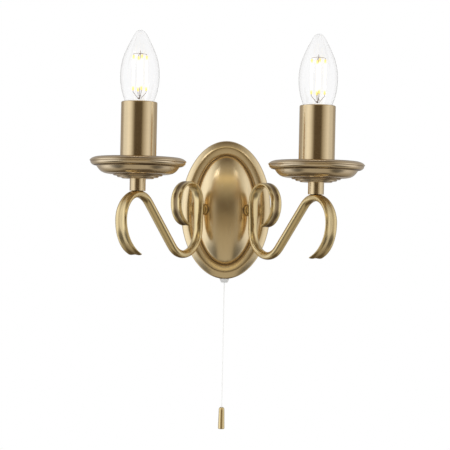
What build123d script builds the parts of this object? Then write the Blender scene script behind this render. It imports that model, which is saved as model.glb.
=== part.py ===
"""Wall light with two candle lamps on scrolled arms, an oval back plate and a pull cord switch.

Millimetres. The wall is the plane y = 0, the light stands out towards -Y and +Z is up.
The origin is the middle of the back plate, on the wall.
"""

from build123d import *
from math import asin, atan2, cos, degrees, exp, radians, sin, sqrt
import os

os.makedirs("parts", exist_ok=True)

# ---------------------------------------------------------------- driving dimensions
lamp_spread = 158.2  # between the two lamp axes
lamp_reach = 112.0  # from the wall to a lamp axis
arm_angle = 57.0  # degrees between the wall and the upright plane that an arm lies in

plate_half_height = 67.0
plate_half_width = 43.5
plate_sheet = 1.2
skirt_depth = 9.3
rim_profile = [(0, 9.3), (0.7, 10.6), (5.2, 13.6), (6.5, 14.1), (7.9, 13.8), (12.6, 11.5), (14.0, 11.0)]
dome_inset = 14.3  # from the outside of the plate to the foot of its dome
dome_foot = 11.0  # depth of the groove round the dome
dome_rise = 18.5

boss_radius = 5.6
boss_height = 0.0
stud_radius = 4.0
flex_radius = 1.5
flex_bore = 2.3

collar_radius = 7.1
collar_low = 14.2
pan_floor = 24.8
pan_sheet = 0.8
tube_radius = 16.05
tube_top = 92.9
tube_sheet = 0.8
nipple_radius = 4.95
nipple_bore = 3.5
nipple_top = 46.0

lamp_length = 99.7
lamp_foot = 57.0  # height of the lamp's end contact
cap_radius = 6.9
cap_top = 84.0
shell_radius = 7.1  # inside of the holder's threaded shell
filament_circle = 6.0
filament_low = 103.0
filament_high = 134.0
filament_turn = {"left": 18.0, "right": 6.0}  # how far each lamp's filaments are turned about its axis

cord_radius = 0.55
cord_depth = 5.5  # from the wall to the cord
guide_mouth = -70.5
pull_top = -191.7
pull_length = 20.9

sides = {"left": -1, "right": 1}
upright = (Align.CENTER, Align.CENTER, Align.MIN)


def save(name, *solids):
    """Writes one named sub-part, which may be a group of separate solids."""
    shape = solids[0] if len(solids) == 1 else Compound(children=list(solids))
    shape.label = name
    export_step(shape, f"parts/{name}.step")


def rod(radius, low, high):
    return Pos(0, 0, low) * Cylinder(radius, high - low, align=upright)


def pipe(outer, inner, low, high):
    return rod(outer, low, high) - rod(inner, low - 1, high + 1)


def box(x0, x1, y0, y1, z0, z1):
    return Pos((x0 + x1) / 2, (y0 + y1) / 2, (z0 + z1) / 2) * Box(x1 - x0, y1 - y0, z1 - z0)


def hexagon(across_flats, low, high, bore):
    body = extrude(RegularPolygon(across_flats / sqrt(3), 6), high - low)
    return Pos(0, 0, low) * body - rod(bore, low - 1, high + 1)


def turned(*outline):
    """A solid of revolution about Z from points (radius, height)."""
    return revolve(make_face(Plane.XZ * Polyline(*outline, close=True)), Axis.Z)


def beside(points, distance):
    """The points moved sideways, to the right of their direction, with mitred corners."""
    moved = []
    for i, (x, y) in enumerate(points):
        before = points[max(i - 1, 0)]
        after = points[min(i + 1, len(points) - 1)]
        turn_in = atan2(y - before[1], x - before[0]) if i else None
        turn_out = atan2(after[1] - y, after[0] - x) if i < len(points) - 1 else None
        turn_in = turn_out if turn_in is None else turn_in
        turn_out = turn_in if turn_out is None else turn_out
        half = (turn_out - turn_in) / 2
        reach = distance / cos(half)
        heading = turn_in + half
        moved.append((x + reach * sin(heading), y - reach * cos(heading)))
    return moved


def spun_sheet(points, radii, thickness):
    """Sheet metal spun to an outline of points (radius, height), with a bend radius at each corner."""
    inner = beside(points, -thickness)
    turns = []
    for (ax, ay), (bx, by), (cx, cy) in zip(points, points[1:], points[2:]):
        turns.append((bx - ax) * (cy - by) - (by - ay) * (cx - bx))
    inner_radii = [max(0.15, r - thickness if t > 0 else r + thickness) for r, t in zip(radii, turns)]
    outer_line = FilletPolyline(*points, radius=radii)
    inner_line = FilletPolyline(*inner, radius=inner_radii)
    ends = Line(points[0], inner[0]) + Line(points[-1], inner[-1])
    return revolve(make_face(Plane.XZ * (outer_line + inner_line + ends)), Axis.Z)


def lamp_place(side):
    return Pos(side * lamp_spread / 2, -lamp_reach, 0)


def arm_plane(side):
    """Local x runs from the lamp axis in towards the plate, local y is up."""
    inward = (-side * cos(radians(arm_angle)), sin(radians(arm_angle)), 0)
    across = (sin(radians(arm_angle)), side * cos(radians(arm_angle)), 0)
    return Plane(origin=(side * lamp_spread / 2, -lamp_reach, 0), x_dir=inward, z_dir=across)


def along_arm(radius, start, end, height=boss_height):
    """A rod in an arm's own plane, level, from start to end."""
    return Pos(start, height, 0) * Rot(0, 90, 0) * Cylinder(radius, end - start, align=upright)


# ---------------------------------------------------------------- the arm's line, in its own plane
curl_centre = Vector(78.8, 5.5)
curl_radius = 18.8
tail_radius = 20.9  # of the curl's open end
tail_turn = 258.0
limb = curl_centre.X + curl_radius  # the upright that the boss holds
loop_radius = 25.0
loop_centre = Vector(limb - loop_radius, -17.8)
crown_centre = Vector(0, -11.4)
crown_radius = 23.0
foot_radius = 32.5
foot_turn = 250.0

gap = crown_centre - loop_centre
lean = degrees(atan2(gap.Y, gap.X)) - degrees(asin((loop_radius + crown_radius) / gap.length))


def on_circle(centre, radius, angle):
    return Vector(centre.X + radius * cos(radians(angle)), centre.Y + radius * sin(radians(angle)))


diagonal_low = on_circle(loop_centre, loop_radius, lean + 90)
diagonal_high = on_circle(crown_centre, crown_radius, lean - 90)
tail_centre = Vector(curl_centre.X - curl_radius + tail_radius, curl_centre.Y)
foot_centre = Vector(-crown_radius + foot_radius, crown_centre.Y)

# each piece of the line: an arc (centre, radius, first angle, last angle) or a straight (first, last)
arm_line = [
    (tail_centre, tail_radius, tail_turn, 180),
    (curl_centre, curl_radius, 180, 90),
    (curl_centre, curl_radius, 90, 0),
    (Vector(limb, curl_centre.Y), Vector(limb, loop_centre.Y)),
    (loop_centre, loop_radius, 0, lean + 90 - 360),
    (diagonal_low, diagonal_high),
    (crown_centre, crown_radius, lean - 90, 90),
    (crown_centre, crown_radius, 90, 180),
    (foot_centre, foot_radius, 180, foot_turn),
]
# half width, half thickness and depth of the groove, at the start of the line and after each piece
arm_sections = [
    (6.6, 1.1, 0.5),
    (6.1, 1.6, 0.8),
    (6.0, 2.0, 0.7),
    (5.3, 3.0, 0.3),
    (4.8, 3.6, 0.0),
    (4.8, 3.7, 0.0),
    (4.8, 3.5, 0.0),
    (5.4, 3.4, 0.3),
    (6.4, 1.9, 0.9),
    (7.8, 1.2, 0.8),
]
section_angles = [0, 25, 50, 66, 79, 90, 101, 114, 130, 155, 180, 205, 230, 246, 259, 270, 281, 294, 310, 335]
section_square = 2.6  # 2 is an ellipse, more is squarer
groove_width = 0.3  # part of the half width
station_step = 18.0  # degrees of an arc between two sections


def stations(piece):
    """Points and headings along one piece of the line, with how far along it each is."""
    if len(piece) == 2:
        first, last = piece
        heading = degrees(atan2(last.Y - first.Y, last.X - first.X))
        return [(first + (last - first) * f, heading, f) for f in (0, 0.33, 0.67)]
    centre, radius, first, last = piece
    count = round(abs(last - first) / station_step)
    turn = 90 if last > first else -90
    steps = [i / count for i in range(count)]
    return [(on_circle(centre, radius, first + (last - first) * f), first + (last - first) * f + turn, f) for f in steps]


def signed_power(value, power):
    return abs(value) ** power * (1 if value > 0 else -1)


def strip_wire(point, heading, half_width, half_thickness, groove, outer):
    """The closed outline of the strip at one station. outer is 1 where the grooved face is on the left."""
    left = radians(heading + 90)
    points = []
    for angle in section_angles:
        across = half_width * signed_power(cos(radians(angle)), 2 / section_square)
        out = half_thickness * signed_power(sin(radians(angle)), 2 / section_square)
        if out * outer > 0:
            out -= outer * groove * exp(-((across / (groove_width * half_width)) ** 2))
        points.append(Vector(point.X + out * cos(left), point.Y + out * sin(left), across))
    knots = [i / len(section_angles) for i in range(len(section_angles) + 1)]
    return Wire([Edge.make_spline(points, periodic=True, parameters=knots)])


def arm_bar():
    """The scrolled bar, flattened and grooved towards both ends, before it is bored."""
    wires = []
    for number, piece in enumerate(arm_line):
        start, end = arm_sections[number], arm_sections[number + 1]
        outer = 1 if number < 5 else -1
        for point, heading, part in stations(piece):
            ease = part * part * (3 - 2 * part)
            sizes = [a + (b - a) * ease for a, b in zip(start, end)]
            wires.append(strip_wire(point, heading, *sizes, outer))
    tip = on_circle(foot_centre, foot_radius, foot_turn)
    wires.append(strip_wire(tip, foot_turn + 90, *arm_sections[-1], -1))
    return Solid.make_loft(wires)


# ---------------------------------------------------------------- the flex's line, in the arm's plane
flex_turn = 3.2  # at the boss
flex_rise = 4.0  # into the nipple
inner_turn = 5.0  # inside the back plate
stud_end = 117.0
block_foot = 22.0  # height of the terminal block's underside
holder_floor = 50.0

rise_height = crown_centre.Y + sqrt((crown_radius + flex_rise) ** 2 - flex_rise**2)
rise_centre = Vector(flex_rise, rise_height)
rise_angle = degrees(atan2(rise_centre.Y - crown_centre.Y, rise_centre.X))
leave = on_circle(crown_centre, crown_radius, rise_angle)


def arc(centre, radius, first, last):
    """An arc from one angle to another, either way round."""
    middle = on_circle(centre, radius, (first + last) / 2)
    return ThreePointArc(on_circle(centre, radius, first), middle, on_circle(centre, radius, last))


def flex_line():
    """From the terminal block through the boss and the arm, up into the lamp holder."""
    turn_in = Vector(stud_end, boss_height)
    up = turn_in + Vector(inner_turn, inner_turn)
    line = Line(Vector(up.X, block_foot), up)
    line += arc(turn_in + Vector(0, inner_turn), inner_turn, 0, -90)
    line += Line(turn_in, Vector(limb + flex_turn, boss_height))
    line += arc(Vector(limb + flex_turn, boss_height - flex_turn), flex_turn, 90, 180)
    line += Line(Vector(limb, boss_height - flex_turn), Vector(limb, loop_centre.Y))
    line += arc(loop_centre, loop_radius, 0, lean + 90 - 360)
    line += Line(diagonal_low, diagonal_high)
    line += arc(crown_centre, crown_radius, lean - 90, rise_angle)
    line += arc(rise_centre, flex_rise, rise_angle - 180, -180)
    line += Line(Vector(0, rise_height), Vector(0, holder_floor))
    return line


def bore_line():
    line = Line(Vector(limb, boss_height + flex_bore), Vector(limb, loop_centre.Y))
    line += arc(loop_centre, loop_radius, 0, lean + 90 - 360)
    line += Line(diagonal_low, diagonal_high)
    line += arc(crown_centre, crown_radius, lean - 90, 90)
    return line


def round_along(line, radius):
    """A round rod of that radius along a line of straights and tangent arcs."""
    start = line ^ 0
    return sweep(Plane(origin=start.position, z_dir=start.z_axis.direction) * Circle(radius), path=line)


# ---------------------------------------------------------------- back plate
def oval(inset, depth):
    return Plane.XZ.offset(depth) * Ellipse(plate_half_width - inset, plate_half_height - inset)


def oval_block(inset, back, front):
    return extrude(oval(inset, back), front - back)


dome_angles = [-9, 0, 12, 24, 36, 48, 60, 71, 80, 88]


def oval_dome(inset, rise):
    """The front half of an ellipsoid, carried on a little way back into the rim."""
    rings = []
    for angle in dome_angles:
        part = cos(radians(angle))
        ring = Ellipse((plate_half_width - inset) * part, (plate_half_height - inset) * part)
        rings.append(Plane.XZ.offset(dome_foot + rise * sin(radians(angle))) * ring)
    return loft(rings)


def plate_form(profile, back, inset, rise):
    """The space inside one skin of the plate: its skirt, its rounded rim and its dome."""
    skirt = oval_block(profile[0][0], back, profile[0][1])
    rim = loft([oval(*ring) for ring in profile])
    return skirt + rim + oval_dome(inset, rise)


# the mitred inner outline of the rim, in the same (inset, depth) terms
inner_profile = beside(rim_profile, plate_sheet)
inner_profile[0] = (plate_sheet, skirt_depth)
inner_profile[-1] = (rim_profile[-1][0], dome_foot - plate_sheet)

screw_depth = 5.2  # side screws, from the wall
plate_outside = plate_form(rim_profile, 0, dome_inset, dome_rise)
plate_inside = plate_form(inner_profile, -1, dome_inset + plate_sheet, dome_rise - plate_sheet)
plate = plate_outside - plate_inside
plate -= Pos(0, -screw_depth, 0) * Rot(0, 90, 0) * Cylinder(2.25, 2 * plate_half_width + 2)
guide_hole_radius = 3.7
plate -= Pos(0, -cord_depth, 0) * rod(guide_hole_radius, -plate_half_height - 1, -plate_half_height + 4)
for side in sides.values():
    plate -= arm_plane(side) * along_arm(stud_radius + 0.2, 100, 120)
save("back_plate", plate)

# ---------------------------------------------------------------- arms and what holds them
bar = arm_bar()
bar_bore = round_along(bore_line(), flex_bore)
crown_top = crown_centre.Y + crown_radius
bar_bored = bar - bar_bore - along_arm(flex_bore + 0.4, limb - 0.5, limb + 8)
bar_bored -= Pos(0, crown_top, 0) * Rot(-90, 0, 0) * Cylinder(3.2, 8, align=upright)
flex = round_along(flex_line(), flex_radius)

boss_outer = 108.5  # where the boss meets the dome, before it is fitted to it
boss = along_arm(boss_radius, limb + 2, boss_outer + 2) + along_arm(stud_radius, boss_outer, stud_end)
boss -= bar + along_arm(flex_bore, limb, stud_end + 1)
stud_way = along_arm(stud_radius, 90, 130)
washer_radius = 7.5
washer_low = 108.0  # the washer is fitted to the inside of the dome
washer_high = 112.2
boss_nut_height = 3.6

for name, side in sides.items():
    plane = arm_plane(side)
    save(f"{name}_arm", plane * bar_bored)
    save(f"{name}_boss", plane * boss - (plate_outside - plane * stud_way))
    washer = along_arm(washer_radius, washer_low, washer_high) - along_arm(stud_radius + 0.1, 100, 120)
    save(f"{name}_boss_washer", plane * washer - plate)
    nut = Pos(washer_high, boss_height, 0) * Rot(0, 90, 0) * hexagon(13, 0, boss_nut_height, stud_radius + 0.02)
    save(f"{name}_boss_nut", plane * nut)
    save(f"{name}_arm_flex", plane * flex)

    place = lamp_place(side)
    collar = pipe(collar_radius, nipple_radius + 0.05, collar_low, pan_floor)
    save(f"{name}_collar", place * collar - plane * bar)
    save(f"{name}_nipple", place * pipe(nipple_radius, nipple_bore, 15.6, nipple_top))

# ---------------------------------------------------------------- drip pans and candle tubes
pan_outline = [
    (5.2, pan_floor),
    (14.2, pan_floor),
    (14.7, 26.0),
    (18.2, 26.0),
    (18.8, 27.6),
    (21.3, 27.6),
    (22.0, 29.0),
    (30.6, 29.6),
    (36.9, 35.6),
    (39.8, 36.2),
    (43.4, 40.2),
    (39.6, 43.8),
]
pan_bends = [0.5, 0.3, 0.5, 0.3, 0.5, 0.3, 5.0, 1.0, 1.0, 0.9]
pan_seat = 26.0 + pan_sheet  # what the candle tube stands on
pan = spun_sheet(pan_outline, pan_bends, pan_sheet)

tube_outline = [(tube_radius, pan_seat), (tube_radius, tube_top), (tube_radius - 1.6, tube_top)]
candle_tube = spun_sheet(tube_outline, [0.9], tube_sheet)

pan_nut = hexagon(14, pan_floor + pan_sheet, pan_floor + pan_sheet + 4, nipple_radius + 0.02)

# ---------------------------------------------------------------- lamp holder
holder_neck = 38.0
holder_base = 44.0
holder_radius = 13.0
holder_well = 48.0
holder = rod(8.2, holder_neck, holder_base + 1) + rod(holder_radius, holder_base, cap_top)
holder -= rod(nipple_radius + 0.05, holder_neck - 1, nipple_top)
holder -= rod(2.0, nipple_top - 1, holder_well + 1)
holder -= rod(shell_radius + 0.55, holder_well, cap_top - 3)
holder -= rod(shell_radius + 1.3, cap_top - 3, cap_top + 1)
holder_shell = pipe(shell_radius + 0.5, shell_radius, 60.0, cap_top - 3)
holder_contact = rod(1.0, holder_floor, 55.2) + rod(3.2, 55.2, 56.0) + rod(2.0, 56.0, lamp_foot - 0.1)

# ---------------------------------------------------------------- lamp
lamp_tip = lamp_foot + lamp_length
glass_sheet = 0.7
# distance below the tip and radius, down to the neck
glass_outline = [(4.0, 4.3), (10.1, 7.9), (19.2, 12.9), (29.0, 16.2), (41.0, 17.5), (51.5, 16.7), (60.0, 14.3)]
glass_outline += [(66.0, 11.8), (69.5, 9.0), (71.5, 7.2), (74.5, 6.4)]
glass_neck = 6.4
glass_end = 79.0


def glass_solid(sink):
    """The solid inside one skin of the bulb, sink in from its outer skin."""
    points = beside([(r, lamp_tip - d) for d, r in glass_outline], sink)
    points[-1] = (glass_neck - sink, points[-1][1])
    tip = (0, lamp_tip - sink)
    side = Spline(tip, *points, tangents=[(1, 0), (0, -1)])
    side += Polyline(points[-1], (glass_neck - sink, glass_end), (0, glass_end), tip)
    return revolve(make_face(Plane.XZ * side), Axis.Z)


glass = glass_solid(0) - glass_solid(glass_sheet) - rod(glass_neck - glass_sheet, glass_end - 1, glass_end + 2)

thread_pitch = 2.82
cap_foot = 62.5
thread_turns = 6
cap_outline = [(cap_radius - 0.5, cap_foot)]
for turn in range(thread_turns):
    ridge = cap_foot + thread_pitch * (turn + 0.5)
    cap_outline += [(cap_radius, ridge), (cap_radius - 0.5, ridge + thread_pitch / 2)]
cap_outline += [(cap_radius, cap_top - 3.0), (cap_radius + 0.6, cap_top - 1.6), (cap_radius + 0.6, cap_top)]
cap_inside = [(cap_radius + 0.3, cap_top), (cap_radius + 0.3, cap_top - 1.4), (cap_radius - 0.35, cap_top - 3.2)]
cap_inside += [(glass_neck + 0.05, glass_end - 1), (cap_radius - 0.8, glass_end - 2), (cap_radius - 0.8, cap_foot)]
cap = turned(*cap_outline, *cap_inside)
insulator = turned((0, 58.4), (2.6, 58.4), (5.0, 61.2), (cap_radius - 0.5, cap_foot), (0, cap_foot))
lamp_button = turned((0, lamp_foot), (1.4, lamp_foot), (2.5, lamp_foot + 0.7), (2.5, 58.4), (0, 58.4))

stem_top = 99.0
stem = turned(
    (0, 80.0), (4.6, 80.0), (4.4, 83.0), (2.6, 87.0), (2.0, 93.0), (1.7, 97.5), (1.2, stem_top), (0, stem_top)
)
wire_radius = 0.28
filament_radius = 0.85
post_top = filament_high + 2.0
foot_wire = filament_low - 2.0


def spoke(height, angle, reach, start=0.0):
    turned_rod = Pos(start, 0, 0) * Rot(0, 90, 0) * Cylinder(wire_radius, reach - start, align=upright)
    return Pos(0, 0, height) * Rot(0, 0, angle) * turned_rod


def lamp_inside(turn):
    """The support wires and the four light rods, turned about the lamp's axis."""
    wires = rod(wire_radius, stem_top, post_top)
    rods = []
    for number in range(4):
        angle = turn + 90 * number
        at = Rot(0, 0, angle) * Pos(filament_circle, 0, 0)
        wires += spoke(post_top - wire_radius, angle, filament_circle + wire_radius)
        wires += spoke(foot_wire + wire_radius, angle, filament_circle + wire_radius)
        wires += at * rod(wire_radius, filament_high, post_top - wire_radius)
        wires += at * rod(wire_radius, foot_wire + wire_radius, filament_low)
        rods.append(at * rod(filament_radius, filament_low, filament_high))
    return wires, rods


for name, side in sides.items():
    place = lamp_place(side)
    save(f"{name}_pan", place * pan)
    save(f"{name}_pan_nut", place * pan_nut)
    save(f"{name}_candle_tube", place * candle_tube)
    save(f"{name}_holder_body", place * holder)
    save(f"{name}_holder_shell", place * holder_shell)
    save(f"{name}_holder_contact", place * holder_contact)
    save(f"{name}_lamp_glass", place * glass)
    save(f"{name}_lamp_cap", place * cap)
    save(f"{name}_lamp_insulator", place * insulator)
    save(f"{name}_lamp_contact", place * lamp_button)
    save(f"{name}_lamp_stem", place * stem)
    wires, rods = lamp_inside(filament_turn[name])
    save(f"{name}_lamp_wires", place * wires)
    save(f"{name}_lamp_filaments", *[place * light for light in rods])

# ---------------------------------------------------------------- wall bracket and side screws
strap_sheet = 1.5
strap_half = 7.0
ear_outside = 41.6
ear_depth = 9.0
slot_spacing = 54.0
slot_length = 12.0
slot_radius = 2.25
cable_hole = 8.0
tab_top = 37.0
tab_half = 8.0

bracket = box(-ear_outside, ear_outside, -strap_sheet, 0, -strap_half, strap_half)
bracket += Rot(90, 0, 0) * Cylinder(13.0, strap_sheet, align=upright)
bracket += box(-tab_half, tab_half, -strap_sheet, 0, 0, tab_top)
bracket -= Rot(90, 0, 0) * Cylinder(cable_hole, 20)
for side in sides.values():
    outside, inside = side * ear_outside, side * (ear_outside - strap_sheet)
    bracket += box(min(outside, inside), max(outside, inside), -ear_depth, 0, -strap_half, strap_half)
    slot = SlotOverall(slot_length, 2 * slot_radius)
    bracket -= Plane.XZ.offset(-1) * Pos(side * slot_spacing / 2, 0) * extrude(slot, strap_sheet + 2)
bracket -= Pos(0, -screw_depth, 0) * Rot(0, 90, 0) * Cylinder(2.05, 2 * ear_outside + 2)
earth_height = 16.5
block_screw_height = 29.0
for height in (earth_height, block_screw_height):
    bracket -= Pos(0, 0, height) * Rot(90, 0, 0) * Cylinder(1.55, 20)
save("wall_bracket", bracket)


def pan_screw(radius, length, head_radius, head):
    """A slotted screw: the head's underside is at z = 0 and the shank runs down."""
    body = rod(radius, -length, 0) + rod(head_radius, 0, head)
    return body - box(-head_radius, head_radius, -0.45, 0.45, head - 0.9, head + 1)


screws = []
for side in sides.values():
    head = Pos(side * plate_half_width, -screw_depth, 0) * Rot(0, side * 90, 0)
    screws.append(head * pan_screw(2.0, 7.5, 3.4, 2.0))
save("side_screws", *screws)

# ---------------------------------------------------------------- terminal block and earth
block_half = 15.0
block_top = 36.0
block_front = 12.0
lead_depth = -(arm_plane(1).from_local_coords(Vector(stud_end + inner_turn, 0, 0)).Y)
block_ways = [-10.0, 10.0]
block_rows = [25.5, 32.5]
block = box(-block_half, block_half, -block_front, -strap_sheet, block_foot, block_top)
block = fillet(block.edges().filter_by(Axis.Z), 1.0)
block -= Pos(0, 0, block_screw_height) * Rot(90, 0, 0) * Cylinder(1.7, 40)
for way in block_ways:
    for height in block_rows:
        block -= Pos(way, -block_front, height) * Rot(90, 0, 0) * Cylinder(2.3, 5)
save("terminal_block", block)

terminal_screws = []
for way in block_ways:
    for height in block_rows:
        at = Pos(way, -block_front + 2.5, height) * Rot(90, 0, 0)
        terminal_screws.append(at * (rod(2.0, 0, 1.6) - box(-3, 3, -0.3, 0.3, 1.0, 3)))
mid_screw = Pos(0, -block_front, block_screw_height) * Rot(90, 0, 0) * pan_screw(1.5, 13.0, 3.0, 1.6)
terminal_screws.append(mid_screw)
save("terminal_screws", *terminal_screws)
earth_screw = Pos(0, -strap_sheet, earth_height) * Rot(90, 0, 0) * pan_screw(1.5, 3.5, 3.3, 1.8)
save("earth_screw", earth_screw)

# ---------------------------------------------------------------- pull switch
switch_half = 10.5
switch_back = 1.6
switch_front = 13.6
switch_low = -46.0
switch_high = -12.0
switch_wall = 1.2
switch_hole = 1.0
floor = switch_low + switch_wall
cord_at = Pos(0, -cord_depth, 0)

switch = box(-switch_half, switch_half, -switch_front, -switch_back, switch_low, switch_high)
room = (switch_half - switch_wall, switch_front + 1, switch_back + switch_wall)
switch -= box(-room[0], room[0], -room[1], -room[2], floor, switch_high - switch_wall)
switch -= cord_at * rod(switch_hole, switch_low - 1, floor + 1)
rotor_height = -20.5
rotor_radius = 5.4
rotor_pin = 1.2
pin = Pos(0, 0, rotor_height) * Rot(90, 0, 0)
switch += pin * rod(rotor_pin, switch_back + 0.5, switch_front)
save("switch_body", switch)

cover = box(-switch_half, switch_half, -switch_front - 1.2, -switch_front, switch_low, switch_high)
save("switch_cover", fillet(cover.edges().filter_by(Axis.Y), 1.0))

# the rotor has four lobes, and turns a quarter turn for each pull
rotor = pin * rod(3.4, switch_back + switch_wall + 0.4, switch_front - 0.4)
for number in range(4):
    lobe = Rot(0, 0, 45 + 90 * number) * Pos(3.2, 0, 0) * rod(rotor_radius - 3.2, 4.0, 9.0)
    rotor += pin * lobe
rotor -= pin * rod(rotor_pin + 0.05, 0, 20)
save("switch_rotor", rotor)

slider_low = -36.0
slider_high = -30.0
slider = box(-3.5, 3.5, -cord_depth - 2.4, -cord_depth + 2.4, slider_low, slider_high)
slider += box(-3.5, 8.0, -cord_depth - 2.0, -cord_depth + 2.0, slider_high - 2, slider_high)
slider += box(6.3, 8.0, -cord_depth - 2.0, -cord_depth + 2.0, slider_high - 2, -18.5)
save("switch_slider", slider)

inner_end = guide_mouth + 0.3
inner_cord = cord_at * rod(cord_radius, inner_end, slider_low)
inner_cord -= Pos(0, -cord_depth, guide_mouth) * Sphere(cord_radius + 0.05)
save("inner_cord", inner_cord)

spring_wire = 0.25
spring_turns = 5
spring_radius = 2.0
spring_height = slider_low - floor - 2 * spring_wire - 0.1
spring_line = Helix(spring_height / spring_turns, spring_height, spring_radius)
spring_start = spring_line ^ 0
spring = sweep(Plane(origin=spring_start.position, z_dir=spring_start.z_axis.direction) * Circle(spring_wire), spring_line)
save("return_spring", Pos(0, -cord_depth, floor + spring_wire + 0.05) * spring)

contacts = []
for depth in (3.6, 8.4):
    leaf = box(-9.2, -8.7, -depth - 2.6, -depth, -30, -14)
    leaf += box(-9.2, -6.2, -depth - 2.6, -depth, rotor_height - 0.25, rotor_height + 0.25)
    contacts.append(leaf)
save("switch_contacts", *contacts)

lead_radius = 1.0
leads = []
for way in (-4.0, 4.0):
    route = FilletPolyline(
        (way, -lead_depth, switch_high),
        (way, -lead_depth, -5),
        (way, -lead_depth - 3.5, 5),
        (way, -lead_depth, 15),
        (way, -lead_depth, block_foot),
        radius=8,
    )
    leads.append(round_along(route, lead_radius))
save("switch_leads", *leads)

# the plastic guide that the cord comes out of, and the nut that holds it in the skirt
guide_radius = 3.5
guide_bore = 1.0
guide_shoulder = -66.4
guide_hole = cord_at * rod(guide_hole_radius, -plate_half_height - 3, -plate_half_height + 7)
guide = rod(guide_radius, -plate_half_height, switch_low)
guide += Pos(0, 0, guide_mouth) * Cone(3.1, 4.9, guide_shoulder - guide_mouth, align=upright)
guide -= rod(guide_bore, guide_mouth - 1, switch_low + 1)
mouth = Pos(0, 0, guide_mouth) * Cone(1.9, guide_bore, 2.0, align=upright)
save("cord_guide", cord_at * (guide - mouth) - (plate_outside - plate_inside - guide_hole))
save("guide_nut", cord_at * hexagon(8.4, -64.6, -62.1, guide_radius + 0.05))

# ---------------------------------------------------------------- pull cord
knot_height = pull_top - 12.0
pull_cord = rod(cord_radius, knot_height, guide_mouth) + Pos(0, 0, guide_mouth) * Sphere(cord_radius)
save("pull_cord", cord_at * pull_cord)
knot = Pos(0, 0, knot_height) * scale(Sphere(1.5), by=(1, 1, 0.85)) - rod(cord_radius, knot_height, guide_mouth)
save("cord_knot", cord_at * knot)
pull_foot = pull_top - pull_length
weight = turned(
    (0, pull_foot),
    (2.7, pull_foot),
    (3.15, pull_foot + 0.5),
    (2.75, pull_top - 1.8),
    (2.3, pull_top - 0.6),
    (1.3, pull_top),
    (0, pull_top),
)
weight -= rod(0.65, knot_height, pull_top + 1)
weight -= rod(1.8, pull_foot - 1, knot_height + 1.8)
save("cord_pull", cord_at * weight)
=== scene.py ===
import math
import bmesh
import bpy
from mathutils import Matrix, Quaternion, Vector


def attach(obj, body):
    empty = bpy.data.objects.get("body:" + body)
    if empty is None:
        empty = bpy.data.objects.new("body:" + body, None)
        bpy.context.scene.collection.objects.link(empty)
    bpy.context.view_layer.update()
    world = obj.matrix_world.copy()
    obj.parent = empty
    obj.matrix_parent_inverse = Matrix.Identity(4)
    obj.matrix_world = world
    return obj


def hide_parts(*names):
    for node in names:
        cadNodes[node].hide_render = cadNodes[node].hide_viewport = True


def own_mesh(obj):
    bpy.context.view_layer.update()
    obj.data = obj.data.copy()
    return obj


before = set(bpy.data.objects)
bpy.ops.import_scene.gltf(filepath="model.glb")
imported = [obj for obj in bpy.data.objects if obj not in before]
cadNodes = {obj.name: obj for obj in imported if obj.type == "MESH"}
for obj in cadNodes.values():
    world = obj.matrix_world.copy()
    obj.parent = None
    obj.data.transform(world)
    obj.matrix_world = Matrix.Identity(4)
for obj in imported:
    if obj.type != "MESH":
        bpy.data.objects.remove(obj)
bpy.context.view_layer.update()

lampAxis = (0.0791, -0.112)  # x and y of the right lamp, the left one mirrors it
armTurn = math.radians(57)  # between the wall and the upright plane that an arm lies in
sides = {"left": -1, "right": 1}
mm = 0.001


# the camera, where the photo was taken from
camera = {
    "place": (-0.006, -1.2206, -0.0148),
    "aim": (-0.0004, 0.0, -0.01456),
    "lens": 100.0,  # 1250 px on a frame of 450
    "sensor": 36.0,
    "near": 0.01,
    "roll": 1.2,  # degrees, the photo shows the light turned a little clockwise
}
eye = Vector(camera["place"])
look = (Vector(camera["aim"]) - eye).to_track_quat("-Z", "Y")
turned = look @ Quaternion((0, 0, 1), math.radians(camera["roll"]))
bpy.ops.object.camera_add(location=eye, rotation=turned.to_euler())
bpy.context.object.data.lens = camera["lens"]
bpy.context.object.data.sensor_width = camera["sensor"]
bpy.context.object.data.clip_start = camera["near"]
bpy.context.scene.camera = bpy.context.object
print("camera set")


# shader tools
class Value:
    # wraps a socket, so that shader maths reads as a sum
    def __init__(self, wiring, socket):
        self.wiring = wiring
        self.socket = socket

    def maths(self, operation, *values):
        return self.wiring.node("Math", {"operation": operation}, dict(enumerate(values)))

    def __add__(self, other):
        return self.maths("ADD", self, other)

    def __sub__(self, other):
        return self.maths("SUBTRACT", self, other)

    def __rsub__(self, other):
        return self.maths("SUBTRACT", other, self)

    def __mul__(self, other):
        return self.maths("MULTIPLY", self, other)

    def __truediv__(self, other):
        return self.maths("DIVIDE", self, other)

    def __rtruediv__(self, other):
        return self.maths("DIVIDE", other, self)

    def __pow__(self, other):
        return self.maths("POWER", self, other)

    def __neg__(self):
        return self.maths("MULTIPLY", self, -1.0)

    def __abs__(self):
        return self.maths("ABSOLUTE", self)

    def larger(self, other):
        return self.maths("MAXIMUM", self, other)

    __radd__ = __add__
    __rmul__ = __mul__


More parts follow.
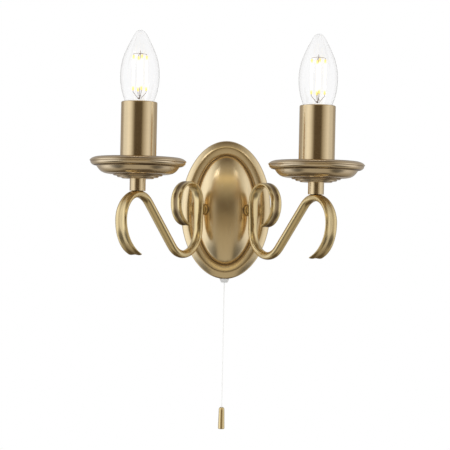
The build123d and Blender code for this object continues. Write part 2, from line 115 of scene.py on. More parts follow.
class Wiring:
    def __init__(self, tree):
        self.tree = tree

    def feed(self, socket, value):
        if isinstance(value, Value):
            self.tree.links.new(value.socket, socket)
        elif isinstance(value, tuple) and len(value) == 3 and socket.type == "RGBA":
            socket.default_value = (*value, 1.0)
        else:
            socket.default_value = value

    def node(self, kind, settings=None, values=None, output=0):
        made = self.tree.nodes.new("ShaderNode" + kind)
        for name, setting in (settings or {}).items():
            if name == "stops":
                self.rampStops(made.color_ramp.elements, setting)
            else:
                setattr(made, name, setting)
        for name, value in (values or {}).items():
            self.feed(made.inputs[name], value)
        return Value(self, made.outputs[output])

    def rampStops(self, elements, stops):
        while len(elements) < len(stops):
            elements.new(0.5)
        for element, (position, colour) in zip(elements, stops):
            element.position = position
            element.color = (*colour, 1.0)

    def ramp(self, value, stops):
        return self.node("ValToRGB", {"stops": stops}, {"Fac": value})

    def ray(self, kind):
        # 1 for the rays of that kind
        return self.node("LightPath", None, None, f"Is {kind} Ray")

    def split(self, vector):
        made = self.node("SeparateXYZ", None, {"Vector": vector}).socket.node
        return [Value(self, socket) for socket in made.outputs]

    def join(self, x, y, z):
        return self.node("CombineXYZ", None, {"X": x, "Y": y, "Z": z})

    def ease(self, value, start, end):
        # 0 before start, 1 after end, smooth between
        limits = {"Value": value, "From Min": start, "From Max": end}
        return self.node("MapRange", {"interpolation_type": "SMOOTHSTEP"}, limits)

    def band(self, value, low, high, soft):
        # 1 between low and high
        return self.ease(value, low - soft, low + soft) * (1 - self.ease(value, high - soft, high + soft))

    def mixColour(self, amount, first, second):
        return self.node("Mix", {"data_type": "RGBA"}, {"Factor": amount, 6: first, 7: second}, 2)

    def noise(self, vector, scale=1.0, detail=2.0, roughness=0.5):
        values = {"Vector": vector, "Scale": scale, "Detail": detail, "Roughness": roughness}
        return self.node("TexNoise", None, values)


class Finish(Wiring):
    # one material, with a Principled shader whose plain values are given by name
    def __init__(self, name, **plain):
        self.material = bpy.data.materials.new(name)
        self.material.use_nodes = True
        super().__init__(self.material.node_tree)
        self.shader = self.tree.nodes["Principled BSDF"]
        self.point = self.node("TexCoord", None, None, "Object")
        self.x, self.y, self.z = self.split(self.point)
        self.set(**plain)

    def set(self, **values):
        sockets = {socket.name.replace(" ", "").lower(): socket for socket in self.shader.inputs}
        for name, value in values.items():
            self.feed(sockets[name.lower()], value)

    def bump(self, height, distance):
        values = {"Height": height, "Distance": distance, "Strength": 1.0}
        self.set(normal=self.node("Bump", None, values))

    def fromLampAxis(self):
        # distance from the nearer lamp's axis, and the way round it
        across = abs(self.x) - lampAxis[0]
        along = self.y - lampAxis[1]
        distance = (across * across + along * along) ** 0.5
        return distance, across.maths("ARCTAN2", along, across)


def dress(finish, *names):
    for name in names:
        piece = cadNodes[name]
        piece.data.materials.clear()
        piece.data.materials.append(finish.material)


def bothSides(*names):
    return [f"{side}_{name}" for side in sides for name in names]


def addPiece(name, data):
    piece = bpy.data.objects.new(name, data)
    bpy.context.collection.objects.link(piece)
    return piece


def chooseOnly(piece):
    bpy.ops.object.select_all(action="DESELECT")
    piece.select_set(True)
    bpy.context.view_layer.objects.active = piece


def roundCurve(name, radius, corners):
    # for what is round all along: the pull cord, the lamps' wires and the spring
    curve = bpy.data.curves.new(name, "CURVE")
    curve.dimensions = "3D"
    curve.bevel_depth = radius
    curve.bevel_resolution = corners
    curve.use_fill_caps = True
    return curve


def addLine(curve, kind, places):
    spline = curve.splines.new(kind)
    spline.points.add(len(places) - 1)
    for point, place in zip(spline.points, places):
        point.co = (*place, 1.0)
    return spline


# the studio: a pale tent, with a dark slit in front where the camera stands. Its ranges are parts of a
# direction: two numbers are where a change starts and ends, three are a low, a high and a soft edge.
studio = {
    "fromLeft": [  # the tent's colours, by the x of a direction brought to 0 to 1
        (0.0, (0.92, 0.95, 0.98)),
        (0.05, (1.12, 1.14, 1.16)),
        (0.14, (0.88, 0.88, 0.87)),
        (0.24, (0.40, 0.37, 0.31)),
        (0.74, (0.34, 0.30, 0.23)),
        (0.86, (0.62, 0.60, 0.56)),
        (0.97, (0.92, 0.92, 0.92)),
        (1.0, (0.70, 0.71, 0.72)),
    ],
    "slit": (-0.44, 0.42, 0.08),  # by x
    "slitFromBelow": [  # the slit's colours, by the z of a direction brought to 0 to 1
        (0.0, (0.46, 0.42, 0.34)),
        (0.34, (0.40, 0.35, 0.26)),
        (0.40, (0.27, 0.22, 0.14)),
        (0.47, (0.25, 0.20, 0.13)),
        (0.50, (0.065, 0.043, 0.02)),
        (0.585, (0.065, 0.043, 0.02)),
        (0.61, (0.30, 0.265, 0.19)),
        (0.70, (0.37, 0.32, 0.23)),
        (0.85, (0.35, 0.31, 0.235)),
        (1.0, (0.12, 0.09, 0.06)),
    ],
    "behind": (0.42, 0.40, 0.38),  # the wall's side
    "behindFrom": (0.1, 0.55),  # by y
    "behindAbove": (-0.6, -0.2),  # by z
    "low": 0.28,  # what is left of the tent's light low down at the sides
    "lowBelow": (0.35, 0.65),  # by z, counted downwards
    "lowUntil": (0.0, 0.3),  # by y
    "lowGap": (-0.45, 0.45, 0.1),  # by x
    "under": (0.11, 0.085, 0.055),  # straight down and back under the wall light
    "underFrom": (-0.1, 0.1),  # by y
    "underBelow": (0.25, 0.5),  # by z, counted downwards
    "underWide": (-0.34, 0.34, 0.12),  # by x
    "strip": (0.95, 0.78, 0.45),  # a warm strip in front, above the camera
    "stripHigh": (0.43, 0.54, 0.03),  # by z
    "stripWide": (-0.46, 0.46, 0.05),  # by x
    "stripUntil": (-0.2, 0.1),  # by y
    "background": (1.0, 1.0, 1.0),
}


def makeStudio():
    world = bpy.data.worlds.new("studio")
    world.use_nodes = True
    bpy.context.scene.world = world
    sky = Wiring(world.node_tree)
    shader = world.node_tree.nodes["Background"]
    x, y, z = sky.split(sky.node("TexCoord", None, None, "Generated"))
    tent = sky.ramp(x * 0.5 + 0.5, studio["fromLeft"])
    slit = sky.ramp(z * 0.5 + 0.5, studio["slitFromBelow"])
    tent = sky.mixColour(sky.band(x, *studio["slit"]), tent, slit)
    behind = sky.ease(y, *studio["behindFrom"]) * sky.ease(z, *studio["behindAbove"])
    tent = sky.mixColour(behind, tent, studio["behind"])
    low = sky.ease(-z, *studio["lowBelow"]) * (1 - sky.ease(y, *studio["lowUntil"]))
    low = low * (1 - sky.band(x, *studio["lowGap"]))
    tent = sky.mixColour(low * (1 - studio["low"]), tent, (0.0, 0.0, 0.0))
    under = sky.ease(y, *studio["underFrom"]) * sky.ease(-z, *studio["underBelow"])
    tent = sky.mixColour(under * sky.band(x, *studio["underWide"]), tent, studio["under"])
    strip = sky.band(z, *studio["stripHigh"]) * sky.band(x, *studio["stripWide"])
    tent = sky.mixColour(strip * (1 - sky.ease(y, *studio["stripUntil"])), tent, studio["strip"])
    mirrored = sky.ray("Glossy") * (1 - sky.ray("Transmission"))
    sky.feed(shader.inputs["Color"], sky.mixColour(mirrored, studio["background"], tent))


keyLight = {
    "place": (-0.9, -1.1, 0.9),
    "size": 0.9,
    "power": 4.0,
}


def makeKeyLight():
    bpy.ops.object.light_add(type="AREA", location=keyLight["place"])
    light = bpy.context.object
    light.rotation_euler = (-Vector(keyLight["place"])).to_track_quat("-Z", "Y").to_euler()
    light.data.size = keyLight["size"]
    light.data.energy = keyLight["power"]
    light.visible_glossy = False  # the metal mirrors the tent alone


floorValues = {
    "height": -0.40,
    "radius": 0.75,
    "corners": 96,
    "fade": (0.35, 0.70),  # how far out it starts and ends to turn white
    "colour": (0.93, 0.93, 0.93),
    "white": (1.0, 1.0, 1.0),
}


def makeFloor():
    bpy.ops.object.select_all(action="DESELECT")
    bpy.ops.mesh.primitive_circle_add(
        vertices=floorValues["corners"],
        radius=floorValues["radius"],
        fill_type="NGON",
        location=(0, 0, floorValues["height"]),
    )
    floor = bpy.context.object
    floor.name = "paleFloor"
    bpy.ops.object.transform_apply(location=True)
    finish = Finish("paleFloor", roughness=0.9, specularIORLevel=0.0, baseColor=floorValues["colour"])
    distance = (finish.x * finish.x + finish.y * finish.y) ** 0.5
    fade = finish.ease(distance, *floorValues["fade"]) * finish.ray("Camera")
    glow = finish.node("Emission", None, {"Color": floorValues["white"], "Strength": 1.0})
    clear = finish.node("BsdfTransparent")
    plain = Value(finish, finish.shader.outputs[0])
    mixed = finish.node("MixShader", None, {"Fac": fade, 1: plain, 2: glow})
    mixed = finish.node("MixShader", None, {"Fac": finish.ray("Glossy"), 1: mixed, 2: clear})
    finish.feed(finish.tree.nodes["Material Output"].inputs["Surface"], mixed)
    floor.data.materials.append(finish.material)


makeStudio()
makeKeyLight()
makeFloor()
print("studio made")


# the braided pull cord
cordRoute = {
    "points": [
        (0, -0.0055, -0.0705),
        (0, -0.0055, -0.1),
        (0, -0.0055, -0.135),
        (0, -0.0055, -0.17),
        (0, -0.0055, -0.2037),
    ],
    "radius": 0.00055,
    "strands": 8,
    "pitch": 0.0032,
    "braidDepth": 0.00008,
    "dark": (0.84, 0.84, 0.82),  # painted shade between the strands
    "white": (0.97, 0.97, 0.96),
}


def braid():
    finish = Finish("braidedCord", roughness=0.75, specularIORLevel=0.3)
    half = cordRoute["strands"] / 2
    along = finish.y - cordRoute["points"][0][1]
    turn = along.maths("ARCTAN2", along, finish.x) * (half / math.pi)
    rise = finish.z * (half / cordRoute["pitch"])
    one = turn.maths("PINGPONG", turn + rise, 0.5)
    other = turn.maths("PINGPONG", turn - rise, 0.5)
    weave = one.larger(other) * 2
    # painted shade in the creases between the strands, where the weave is low
    finish.set(baseColor=finish.mixColour(weave, cordRoute["dark"], cordRoute["white"]))
    finish.bump(weave, cordRoute["braidDepth"])
    return finish


def makePullCord():
    curve = roundCurve("pullCord", cordRoute["radius"], 5)
    spline = addLine(curve, "NURBS", cordRoute["points"])
    spline.order_u = 3
    spline.use_endpoint_u = True
    spline.resolution_u = 24
    cord = addPiece("pullCord", curve)
    finish = braid()
    curve.materials.append(finish.material)
    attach(cord, "hanging_cord")
    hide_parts("pull_cord")
    dress(finish, "cord_knot", "inner_cord")


makePullCord()
print("pull cord made")


# antique brass: brushed, with a dark patina and painted shade left in the recesses
brassValues = {
    "tube": (0.79, 0.625, 0.39),
    "pan": (0.80, 0.655, 0.46),
    "plate": (0.90, 0.73, 0.46),
    "arm": (0.85, 0.68, 0.375),
    "dark": (0.17, 0.11, 0.065),  # the patina, and the painted shade in the recesses
    "cloudScale": 28.0,
    "cloudRange": (0.45, 0.8),
    "cloudPatina": 0.08,
    "streakPatina": 0.3,
    "patinaRoughness": 0.12,
    "streakRoughness": 0.06,
    "streakDepth": 0.000002,
}


def makeBrass(name, colour, roughness, streakPoint, recess=None):
    # streakPoint gives the coordinates that the fine brushing follows, recess where patina and painted
    # shade darken it
    finish = Finish(name, metallic=1.0)
    streak = finish.noise(streakPoint(finish), detail=3.0, roughness=0.6)
    cloud = finish.noise(finish.point, scale=brassValues["cloudScale"], detail=3.0)
    patina = finish.ease(cloud, *brassValues["cloudRange"]) * brassValues["cloudPatina"]
    patina = patina + abs(streak - 0.5) * brassValues["streakPatina"]
    # the recesses add painted shade to the patina, in the same dark colour
    if recess:
        patina = patina + recess(finish)
    patina = finish.node("Clamp", None, {"Value": patina})
    uneven = patina * brassValues["patinaRoughness"] + streak * brassValues["streakRoughness"]
    finish.set(
        baseColor=finish.mixColour(patina, brassValues[colour], brassValues["dark"]),
        roughness=roughness + uneven,
    )
    finish.bump(streak, brassValues["streakDepth"])
    return finish


streakScales = {
    "plate": (900, 300, 18),  # along x, y and z
    "turned": (1100, 1.3, 1100),  # out from the lamp's axis, round it and up
    "arm": (500, 14, 14),  # across the bar, in towards the wall and up
    "end": (400, 400, 900),
}


def brushing(finish, places, piece):
    return finish.join(*[place * scale for place, scale in zip(places, streakScales[piece])])


def plateStreaks(finish):
    return brushing(finish, (finish.x, finish.y, finish.z), "plate")


def turnedStreaks(finish):
    distance, turn = finish.fromLampAxis()
    return brushing(finish, (distance, turn, finish.z), "turned")


def armStreaks(finish):
    across = abs(finish.x) * math.sin(armTurn) + finish.y * math.cos(armTurn)
    along = finish.y * math.sin(armTurn) - abs(finish.x) * math.cos(armTurn)
    return brushing(finish, (across, along, finish.z), "arm")


def endStreaks(finish):
    return brushing(finish, (finish.x, finish.y, finish.z), "end")


# recesses, darkened with painted shade and patina: three numbers are a low, a high and a soft edge, two are
# where a change starts and ends
plateGroove = {
    "halfWidth": 0.0291,
    "halfHeight": 0.0526,
    "width": (0.990, 1.010, 0.014),  # as parts of the half sizes
    "patina": 0.75,
}


def plateRecess(finish):
    # painted shade and patina in the groove round the dome, as an ellipse on the plate
    across, up = finish.x / plateGroove["halfWidth"], finish.z / plateGroove["halfHeight"]
    return finish.band((across * across + up * up) ** 0.5, *plateGroove["width"]) * plateGroove["patina"]


panGrooves = {  # painted shade and patina in the pan's grooves, out from the lamp's axis, where nothing else is said
    "ledge": (0.0371, 0.0398, 0.0006),
    "ledgePatina": 0.9,
    "bead": (0.0394, 0.0398, 0.00025),  # up
    "beadFrom": (0.0405, 0.0412),
    "beadPatina": 0.8,
    "steps": [(0.0144, 0.0152, 0.0004), (0.0184, 0.0194, 0.0004), (0.0216, 0.0228, 0.0004)],
    "stepPatina": 0.8,
}


def panRecess(finish):
    # painted shade and patina in the ledge, under the rolled lip and in the steps of the base
    distance, _ = finish.fromLampAxis()
    ledge = finish.band(distance, *panGrooves["ledge"]) * panGrooves["ledgePatina"]
    bead = finish.band(finish.z, *panGrooves["bead"]) * finish.ease(distance, *panGrooves["beadFrom"])
    steps = sum(finish.band(distance, *step) for step in panGrooves["steps"])
    return ledge + bead * panGrooves["beadPatina"] + steps * panGrooves["stepPatina"]


armGrooves = {  # painted shade and patina in the arm's hollow and at the boss, in from the lamp's axis, where nothing else is said
    "middle": (0.0010, 0.0036),  # to the side, from the middle of the bar
    "foot": (-0.014, 0.001),
    "footPatina": 0.25,
    "curl": (0.053, 0.083, 0.003),
    "curlAbove": (-0.020, -0.016),  # up
    "curlPatina": 0.8,
    "dome": (0.1046, 0.1085, 0.0004),  # where a boss meets the dome
    "domePatina": 0.9,
    "bar": (0.1000, 0.1019, 0.0003),  # where it meets the bar
    "barPatina": 0.7,
}


def inArm(finish):
    # distance from the middle of the arm's bar to the side, and from the lamp's axis in towards the wall
    out, forward = abs(finish.x) - lampAxis[0], finish.y - lampAxis[1]
    across = abs(out * math.sin(armTurn) + forward * math.cos(armTurn))
    inward = forward * math.sin(armTurn) - out * math.cos(armTurn)
    return across, inward


def armRecess(finish):
    # painted shade and patina in the hollow down the outside of the curl and of the foot
    across, inward = inArm(finish)
    foot = (1 - finish.ease(inward, *armGrooves["foot"])) * armGrooves["footPatina"]
    curl = finish.band(inward, *armGrooves["curl"]) * finish.ease(finish.z, *armGrooves["curlAbove"])
    hollow = 1 - finish.ease(across, *armGrooves["middle"])
    return hollow * foot.larger(curl * armGrooves["curlPatina"])


def bossRecess(finish):
    # painted shade and patina where the boss meets the dome and the bar
    _, inward = inArm(finish)
    dome = finish.band(inward, *armGrooves["dome"]) * armGrooves["domePatina"]
    return dome + finish.band(inward, *armGrooves["bar"]) * armGrooves["barPatina"]


plateBrass = makeBrass("plateBrass", "plate", 0.22, plateStreaks, plateRecess)
turnedBrass = makeBrass("turnedBrass", "tube", 0.15, turnedStreaks)
panBrass = makeBrass("panBrass", "pan", 0.15, turnedStreaks, panRecess)
armBrass = makeBrass("armBrass", "arm", 0.19, armStreaks, armRecess)
bossBrass = makeBrass("bossBrass", "arm", 0.19, armStreaks, bossRecess)
pullBrass = makeBrass("pullBrass", "arm", 0.18, endStreaks)
dress(plateBrass, "back_plate")
dress(turnedBrass, *bothSides("candle_tube", "collar"))
dress(panBrass, *bothSides("pan"))
dress(armBrass, *bothSides("arm"))
dress(bossBrass, *bothSides("boss"))
dress(pullBrass, "cord_pull", "side_screws")
print("brass dressed")


# sheet metal or glass, pressed or spun to shape, in millimetres: rings of half width, half height and
# depth, the first is the outer edge
sheetWork = {
    "corners": 64,
    "smoothing": 2,
}


def pressSheet(name, rings, sheet, closed):
    rings = [[mm * size for size in ring] for ring in rings]
    bpy.ops.object.select_all(action="DESELECT")
    bpy.ops.mesh.primitive_circle_add(vertices=sheetWork["corners"], radius=1.0)
    piece = bpy.context.object
    piece.name = name
    bpy.ops.object.mode_set(mode="EDIT")
    bpy.ops.mesh.select_all(action="SELECT")
    across, up, depth = rings[0]
    bpy.ops.transform.resize(value=(across, up, 1), center_override=(0, 0, 0))
    bpy.ops.transform.translate(value=(0, 0, depth))
    for ring in rings[1:]:
        stretch = (ring[0] / across, ring[1] / up, 1)
        bpy.ops.mesh.extrude_region_move(TRANSFORM_OT_translate={"value": (0, 0, ring[2] - depth)})
        bpy.ops.transform.resize(value=stretch, center_override=(0, 0, 0))
        across, up, depth = ring
    if closed:
        bpy.ops.mesh.edge_face_add()
        bpy.ops.mesh.poke()
    bpy.ops.mesh.select_all(action="SELECT")
    bpy.ops.mesh.normals_make_consistent(inside=False)
    bpy.ops.object.mode_set(mode="OBJECT")
    bpy.ops.object.shade_smooth()
    skin = piece.modifiers.new("skin", "SOLIDIFY")
    skin.thickness = mm * sheet
    skin.offset = -1
    smooth = piece.modifiers.new("smooth", "SUBSURF")
    smooth.levels = smooth.render_levels = sheetWork["smoothing"]
    for modifier in ("skin", "smooth"):
        bpy.ops.object.modifier_apply(modifier=modifier)
    return piece


def roundRings(profile):
    return [(radius, radius, height) for radius, height in profile]


def placeOnLamp(piece, way):
    piece.location = (way * lampAxis[0], lampAxis[1], 0)
    bpy.ops.object.transform_apply(location=True)


backPlate = {
    "halfWidth": 43.5,
    "halfHeight": 67.0,
    "rim": [  # how far in from the outside, and how far from the wall
        (0.0, 0.0), (0.0, 0.4), (0.0, 4.6), (0.0, 8.4), (0.2, 9.7), (0.9, 10.9), (2.6, 12.2), (4.6, 13.3),
        (6.2, 13.95), (7.3, 13.95), (9.0, 13.65), (11.0, 13.05), (12.6, 12.35), (13.5, 11.7),
        (14.1, 11.0), (14.5, 11.3),
    ],
    "domeInset": 14.4,
    "domeFoot": 11.0,
    "domeRise": 18.4,
    "domeTurns": [5, 12, 20, 29, 38, 47, 56, 65, 73, 80, 85, 88],
    "sheet": 1.2,
}


def makeBackPlate():
    wide, high = backPlate["halfWidth"], backPlate["halfHeight"]
    rings = [(wide - inset, high - inset, depth) for inset, depth in backPlate["rim"]]
    wide, high = wide - backPlate["domeInset"], high - backPlate["domeInset"]
    for turn in backPlate["domeTurns"]:
        part, rise = math.cos(math.radians(turn)), math.sin(math.radians(turn))
        rings.append((wide * part, high * part, backPlate["domeFoot"] + backPlate["domeRise"] * rise))
    plate = pressSheet("backPlate", rings, backPlate["sheet"], True)
    bpy.context.view_layer.update()
    plate.rotation_euler = (math.radians(90), 0, 0)
    bpy.ops.object.transform_apply(rotation=True)
    plate.data.materials.append(plateBrass.material)
    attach(plate, "root")
    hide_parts("back_plate")


dripPan = {
    "profile": [  # radius and height, from the rolled lip in to the hole
        (36.3, 43.25), (37.0, 43.7), (38.4, 43.45), (40.2, 42.9), (41.7, 42.0), (42.7, 40.95),
        (42.98, 40.4), (42.85, 39.95), (42.3, 39.75), (42.0, 39.5), (42.25, 39.0), (42.1, 38.3),
        (41.3, 37.3), (40.3, 36.5), (39.4, 36.15), (37.6, 35.85), (37.0, 35.6), (36.4, 34.9),
        (35.2, 33.0), (33.0, 30.8), (30.2, 29.4), (26.6, 28.75), (22.7, 28.6), (22.2, 28.5),
        (21.9, 28.1), (21.5, 27.45), (21.0, 27.35), (19.2, 27.3), (18.7, 27.2), (18.4, 26.7),
        (18.2, 26.0), (17.7, 25.9), (15.0, 25.9), (14.6, 25.8), (14.4, 25.3), (14.1, 24.9),
        (13.6, 24.85), (7.0, 24.85), (5.4, 24.85),
    ],
    "sheet": 0.7,
}


def makePans():
    for side, way in sides.items():
        pan = pressSheet(side + "DripPan", roundRings(dripPan["profile"]), dripPan["sheet"], False)
        placeOnLamp(pan, way)
        pan.data.materials.append(panBrass.material)
        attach(pan, "root")
        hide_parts(f"{side}_pan")


makeBackPlate()
makePans()
print("plate and pans made")


# the scrolled arm in its own upright plane, millimetres in from the lamp's axis and up. The outline of its
# bar and the hollow in it change all along, which no extrusion follows, so it is worked out ring by ring.
armShape = {
    "curl": (78.8, 5.5, 18.8),  # middle and radius
    "tail": (20.9, 258.0),  # radius of the curl's open end, and the turn at its tip
    "loop": (25.0, -17.8),  # radius, and height of its middle
    "crown": (0.0, -11.4, 23.0),
    "foot": (32.5, 250.0),
    "sections": [  # half width, half thickness, depth of the hollow and squareness, after each piece
        (6.6, 1.1, 0.5, 2.5), (6.1, 1.6, 0.8, 2.5), (6.0, 2.0, 0.7, 2.4), (5.3, 3.0, 0.3, 2.2),
        (4.8, 3.6, 0.0, 2.0), (4.8, 3.7, 0.0, 2.0), (4.8, 3.5, 0.0, 2.0), (5.4, 3.4, 0.3, 2.2),
        (6.4, 1.9, 0.9, 2.4), (7.8, 1.2, 0.8, 2.5),
    ],
    "turnOver": 5,  # from this piece on, the hollow is on the other face
    "around": [0, 25, 50, 66, 79, 90, 101, 114, 130, 155, 180, 205, 230, 246, 259, 270, 281, 294, 310, 335],
    "hollow": 0.3,  # its width, as a part of the half width
    "step": 9.0,  # degrees of an arc between two rings
    "straightParts": [0, 0.2, 0.4, 0.6, 0.8],
    "tipStep": 0.4,  # degrees, a close ring at each end keeps its edge crisp
    "tailStep": 0.6,
    "endInset": 0.2,
    "smoothing": 2,
}


def armLine():
    # arcs (middle, radius, first and last turn) and straights (first and last point), from curl to foot
    x, y, curl = armShape["curl"]
    tail, tailTurn = armShape["tail"]
    loop, loopHeight = armShape["loop"]
    crownX, crownY, crown = armShape["crown"]
    foot, footTurn = armShape["foot"]
    limb = x + curl
    gap = (crownX - limb + loop, crownY - loopHeight)
    lean = math.degrees(math.atan2(gap[1], gap[0]) - math.asin((loop + crown) / math.hypot(*gap)))
    low = onCircle((limb - loop, loopHeight), loop, lean + 90)
    high = onCircle((crownX, crownY), crown, lean - 90)
    return [
        ((x - curl + tail, y), tail, tailTurn, 180),
        ((x, y), curl, 180, 90),
        ((x, y), curl, 90, 0),
        ((limb, y), (limb, loopHeight)),
        ((limb - loop, loopHeight), loop, 0, lean - 270),
        (low, high),
        ((crownX, crownY), crown, lean - 90, 90),
        ((crownX, crownY), crown, 90, 180),
        ((foot - crown, crownY), foot, 180, footTurn),
    ]


def onCircle(middle, radius, turn):
    turn = math.radians(turn)
    return (middle[0] + radius * math.cos(turn), middle[1] + radius * math.sin(turn))


def armStations(piece):
    # places and headings along one piece of the line, and how far along it they are
    if len(piece) == 2:
        (x, y), (endX, endY) = piece
        heading = math.degrees(math.atan2(endY - y, endX - x))
        parts = armShape["straightParts"]
        return [((x + (endX - x) * part, y + (endY - y) * part), heading, part) for part in parts]
    middle, radius, first, last = piece
    count = round(abs(last - first) / armShape["step"])
    ahead = 90 if last > first else -90
    turns = [(first + (last - first) * number / count, number / count) for number in range(count)]
    return [(onCircle(middle, radius, turn), turn + ahead, part) for turn, part in turns]


def squared(value, square):
    return math.copysign(abs(value) ** (2 / square), value)


def armRing(place, heading, section, outer):
    # one outline of the bar: places in the arm's plane and across it
    halfWidth, halfThickness, hollow, square = section
    left = math.radians(heading + 90)
    ring = []
    for turn in armShape["around"]:
        wide = squared(math.cos(math.radians(turn)), square) * halfWidth
        thick = squared(math.sin(math.radians(turn)), square) * halfThickness
        if thick * outer > 0:
            thick -= outer * hollow * math.exp(-((wide / (armShape["hollow"] * halfWidth)) ** 2))
        ring.append((place[0] + thick * math.cos(left), place[1] + thick * math.sin(left), wide))
    return ring


def armRings():
    rings = []
    sections = armShape["sections"]
    line = armLine()
    for number, piece in enumerate(line):
        outer = 1 if number < armShape["turnOver"] else -1
        for place, heading, part in armStations(piece):
            ease = part * part * (3 - 2 * part)
            section = [a + (b - a) * ease for a, b in zip(sections[number], sections[number + 1])]
            rings.append(armRing(place, heading, section, outer))
    middle, radius, _, last = line[-1]
    for back in (armShape["tipStep"], 0.0):
        rings.append(armRing(onCircle(middle, radius, last - back), last + 90, sections[-1], -1))
    middle, radius, first, _ = line[0]
    close = onCircle(middle, radius, first - armShape["tailStep"])
    rings.insert(1, armRing(close, first - 90, sections[0], 1))
    return rings


def joinRings(skin, rings):
    for one, other in zip(rings, rings[1:]):
        for number in range(len(one)):
            after = (number + 1) % len(one)
            skin.faces.new((one[number], one[after], other[after], other[number]))
    for ring in (rings[0], rings[-1]):
        end = skin.faces.new(ring)
        bmesh.ops.inset_region(skin, faces=[end], thickness=mm * armShape["endInset"])
    bmesh.ops.recalc_face_normals(skin, faces=skin.faces)


def makeArms():
    for side, way in sides.items():
        inward = Vector((-way * math.cos(armTurn), math.sin(armTurn), 0))
        across = Vector((math.sin(armTurn), way * math.cos(armTurn), 0))
        foot = Vector((way * lampAxis[0], lampAxis[1], 0))
        skin = bmesh.new()
        rings = []
        for ring in armRings():
            places = [foot + mm * (inward * x + across * wide + Vector((0, 0, y))) for x, y, wide in ring]
            rings.append([skin.verts.new(place) for place in places])
        joinRings(skin, rings)
        mesh = bpy.data.meshes.new(side + "ScrolledArm")
        skin.to_mesh(mesh)
        skin.free()
        arm = addPiece(side + "ScrolledArm", mesh)
        chooseOnly(arm)
        bpy.ops.object.shade_smooth()
        smooth = arm.modifiers.new("smooth", "SUBSURF")
        smooth.levels = smooth.render_levels = armShape["smoothing"]
        bpy.ops.object.modifier_apply(modifier="smooth")
        mesh.materials.append(armBrass.material)
        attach(arm, "root")
        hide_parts(f"{side}_arm")


makeArms()
print("arms made")


# lamps
glassValues = {
    "tint": (0.99, 0.988, 0.99),
    "haze": (0.97, 0.97, 0.97),
    "hazeScale": 120.0,
    "hazeRoughness": 0.01,
    "ior": 1.45,
}


def makeGlass(name, roughness):
    finish = Finish(name, transmissionWeight=1.0, ior=glassValues["ior"])
    haze = finish.noise(finish.point, scale=glassValues["hazeScale"])
    finish.set(
        baseColor=finish.mixColour(haze, glassValues["tint"], glassValues["haze"]),
        roughness=roughness + haze * glassValues["hazeRoughness"],
    )
    return finish


bulbGlass = makeGlass("bulbGlass", 0.0)
stemGlass = makeGlass("stemGlass", 0.02)

bulb = {
    "profile": [  # radius and height, from the neck up to the tip
        (6.4, 79.1), (6.4, 82.0), (7.2, 85.2), (9.0, 87.2), (11.8, 90.7), (14.2, 96.6), (16.1, 103.0),
        (17.2, 110.0), (17.5, 115.7), (17.3, 121.5), (16.4, 127.6), (14.8, 133.6), (12.7, 138.7),
        (10.6, 143.2), (8.4, 147.6), (6.6, 151.0), (5.1, 153.7), (3.6, 155.6), (1.9, 156.5),
    ],
    "sheet": 0.5,
}


def makeBulbs():
    for side, way in sides.items():
        glass = pressSheet(side + "Bulb", roundRings(bulb["profile"]), bulb["sheet"], True)
        placeOnLamp(glass, way)
        glass.data.materials.append(bulbGlass.material)
        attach(glass, side + "_lamp_envelope")
        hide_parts(side + "_lamp_glass")


lightRods = {
    "low": 0.103,
    "high": 0.134,
    "cap": 0.0032,  # how much of each end stays unlit
    "soft": 0.0015,
    "glow": 1.15,
    "lit": (1.0, 0.98, 0.92),
    "capGlow": (0.62, 0.50, 0.15),
    "yellow": (0.95, 0.72, 0.20),
    "yellowGrain": (0.80, 0.55, 0.12),
    "grainScale": 2500.0,
}


def glowing(name, body, bodyGrain, ends):
    # white glow between the ends of the light rods, and the given colour beyond; on the lamp wires this
    # white is a painted glow on the post that runs up between the rods
    finish = Finish(name, roughness=0.5, emissionStrength=lightRods["glow"])
    low, high = lightRods["low"] + lightRods["cap"], lightRods["high"] - lightRods["cap"]
    lit = finish.band(finish.z, low, high, lightRods["soft"])
    grain = finish.noise(finish.point, scale=lightRods["grainScale"])
    finish.set(
        baseColor=finish.mixColour(grain, body, bodyGrain),
        emissionColor=finish.mixColour(lit, ends, lightRods["lit"]),
    )
    return finish


lampWires = {
    "radius": 0.00022,
    "circle": 0.006,
    "turns": {"left": 18.0, "right": 6.0},  # of the light rods about the lamp's axis
    "foot": (0.0008, 0.0955),  # where the lower wires leave the stem: radius and height
    "middle": 0.117,
    "lowRing": 0.1016,
    "highRing": 0.1353,
    "ringRise": 0.0008,  # how much higher the upper wires meet the post
    "post": 0.1385,
    "lap": 0.0004,  # how far a wire goes into a rod
    "copper": (0.42, 0.26, 0.15),
    "copperGrain": (0.30, 0.18, 0.10),
    "unlit": (0.0, 0.0, 0.0),
}


def wireLines(turn):
    # the post, and for each rod a wire up to its foot and one from its head to the post
    footRadius, foot = lampWires["foot"]
    low, high = lightRods["low"] + lampWires["lap"], lightRods["high"] - lampWires["lap"]
    top = (0, 0, lampWires["highRing"] + lampWires["ringRise"])
    lines = [[(0, 0, foot), (0, 0, lampWires["middle"]), (0, 0, lampWires["post"])]]
    for number in range(4):
        angle = math.radians(turn + 90 * number)
        out = (lampWires["circle"] * math.cos(angle), lampWires["circle"] * math.sin(angle))
        near = (footRadius * math.cos(angle), footRadius * math.sin(angle))
        lines.append([(*near, foot), (*out, lampWires["lowRing"]), (*out, low)])
        lines.append([(*out, high), (*out, lampWires["highRing"]), top])
    return lines


def makeLampWires(finish):
    for side, way in sides.items():
        curve = roundCurve(side + "Wires", lampWires["radius"], 2)
        for line in wireLines(lampWires["turns"][side]):
            addLine(curve, "POLY", [(x + way * lampAxis[0], y + lampAxis[1], z) for x, y, z in line])
        wires = addPiece(side + "Wires", curve)
        curve.materials.append(finish.material)
        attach(wires, side + "_lamp_core")
        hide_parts(side + "_lamp_wires")


rodFinish = glowing("lightRods", lightRods["yellow"], lightRods["yellowGrain"], lightRods["capGlow"])
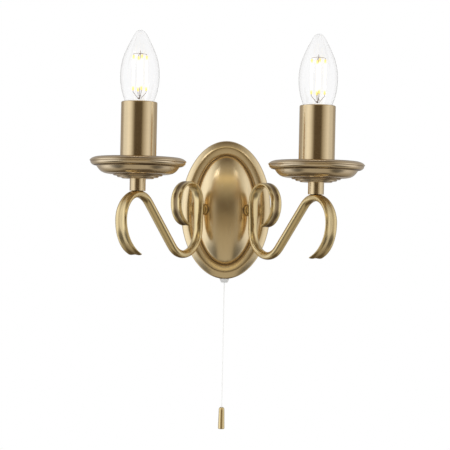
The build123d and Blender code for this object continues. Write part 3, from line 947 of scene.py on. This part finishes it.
# the wires take the same band: the post between the rods is painted with a white glow, though it is no lamp
wireFinishWithPaintedGlow = glowing("lampWires", lampWires["copper"], lampWires["copperGrain"], lampWires["unlit"])
makeBulbs()
makeLampWires(wireFinishWithPaintedGlow)
dress(rodFinish, *bothSides("lamp_filaments"))
dress(stemGlass, *bothSides("lamp_stem"))
print("lamps made")


# fittings: two shades that the grain mixes, how rough they are, and the nodes that have the finish
metals = {
    "nickel": {
        "shades": ((0.80, 0.79, 0.76), (0.66, 0.64, 0.60)),
        "roughness": 0.12,
        "scale": 400.0,
        "on": bothSides("lamp_cap", "nipple", "pan_nut"),
    },
    "contactBrass": {
        "shades": ((0.82, 0.65, 0.33), (0.70, 0.52, 0.24)),
        "roughness": 0.18,
        "scale": 400.0,
        "on": [
            *bothSides("lamp_contact", "holder_contact", "holder_shell"),
            "switch_contacts",
            "terminal_screws",
        ],
    },
    "zinc": {
        "shades": ((0.74, 0.75, 0.76), (0.55, 0.57, 0.60)),
        "roughness": 0.25,
        "scale": 260.0,
        "on": [*bothSides("boss_nut", "boss_washer"), "wall_bracket", "earth_screw", "return_spring"],
    },
}
plastics = {
    "blackGlass": {
        "shades": ((0.02, 0.02, 0.025), (0.035, 0.035, 0.04)),
        "roughness": 0.08,
        "on": bothSides("lamp_insulator"),
    },
    "holderPlastic": {
        "shades": ((0.05, 0.05, 0.05), (0.07, 0.068, 0.065)),
        "roughness": 0.35,
        "on": bothSides("holder_body"),
    },
    "whitePlastic": {
        "shades": ((0.86, 0.86, 0.84), (0.81, 0.81, 0.79)),
        "roughness": 0.4,
        "on": ["terminal_block", "switch_body", "switch_cover", "switch_rotor", "switch_slider"],
    },
    "guidePlastic": {
        "shades": ((0.80, 0.80, 0.79), (0.72, 0.72, 0.71)),
        "roughness": 0.3,
        "clear": 0.3,  # how much light it lets through
        "on": ["cord_guide", "guide_nut"],
    },
    "flexSkin": {
        "shades": ((0.78, 0.77, 0.73), (0.70, 0.69, 0.66)),
        "roughness": 0.45,
        "on": [*bothSides("arm_flex"), "switch_leads"],
    },
}
grains = {
    "metalRoughness": 0.15,
    "metalDepth": 0.000004,
    "plasticScale": 900.0,
    "plasticRoughness": 0.1,
    "plasticDepth": 0.00001,
}


def makeMetal(name, values):
    finish = Finish(name, metallic=1.0)
    cloud = finish.noise(finish.point, scale=values["scale"], detail=4.0)
    finish.set(
        baseColor=finish.mixColour(cloud, *values["shades"]),
        roughness=values["roughness"] + cloud * grains["metalRoughness"],
    )
    finish.bump(cloud, grains["metalDepth"])
    return finish


def makePlastic(name, values):
    finish = Finish(name, transmissionWeight=values.get("clear", 0.0))
    grain = finish.noise(finish.point, scale=grains["plasticScale"], detail=3.0)
    finish.set(
        baseColor=finish.mixColour(grain, *values["shades"]),
        roughness=values["roughness"] + grain * grains["plasticRoughness"],
    )
    finish.bump(grain, grains["plasticDepth"])
    return finish


metalFinishes = {name: makeMetal(name, values) for name, values in metals.items()}
for name, finish in metalFinishes.items():
    dress(finish, *metals[name]["on"])
for name, values in plastics.items():
    dress(makePlastic(name, values), *values["on"])
print("fittings dressed")


# the switch's return spring, which the slider squeezes
returnSpring = {
    "foot": (0.0, -0.0055, -0.0445),
    "height": 0.0082,
    "turns": 5,
    "radius": 0.002,
    "wire": 0.00025,
    "steps": 24,  # to a turn
    "anchor": -0.0448,  # the height of the floor that it stands on
    "squeezed": 0.006,  # how far the slider comes down on it
    "free": 0.00875,  # from the floor to the slider at rest
}


def makeSpring():
    count = returnSpring["turns"] * returnSpring["steps"]
    radius, height = returnSpring["radius"], returnSpring["height"]
    x, y, z = returnSpring["foot"]
    places = []
    for number in range(count + 1):
        turn = 2 * math.pi * number / returnSpring["steps"]
        across, along = radius * math.cos(turn), radius * math.sin(turn)
        places.append((x + across, y + along, z + height * number / count))
    curve = roundCurve("returnSpring", returnSpring["wire"], 3)
    addLine(curve, "POLY", places)
    chooseOnly(addPiece("returnSpring", curve))
    bpy.ops.object.convert(target="MESH")
    spring = bpy.context.object
    bpy.ops.object.shade_smooth()
    spring.data.materials.append(metalFinishes["zinc"].material)
    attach(spring, "root")
    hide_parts("return_spring")
    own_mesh(spring)


makeSpring()
print("spring made")


# the last look: the plain view transform, and the nodes left without a finish
bpy.context.scene.view_settings.view_transform = "Standard"
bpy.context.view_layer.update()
bare = []
for name, piece in cadNodes.items():
    if not piece.data.materials or not piece.data.materials[0].node_tree:
        bare.append(name)
print("nodes without a finish:", bare)
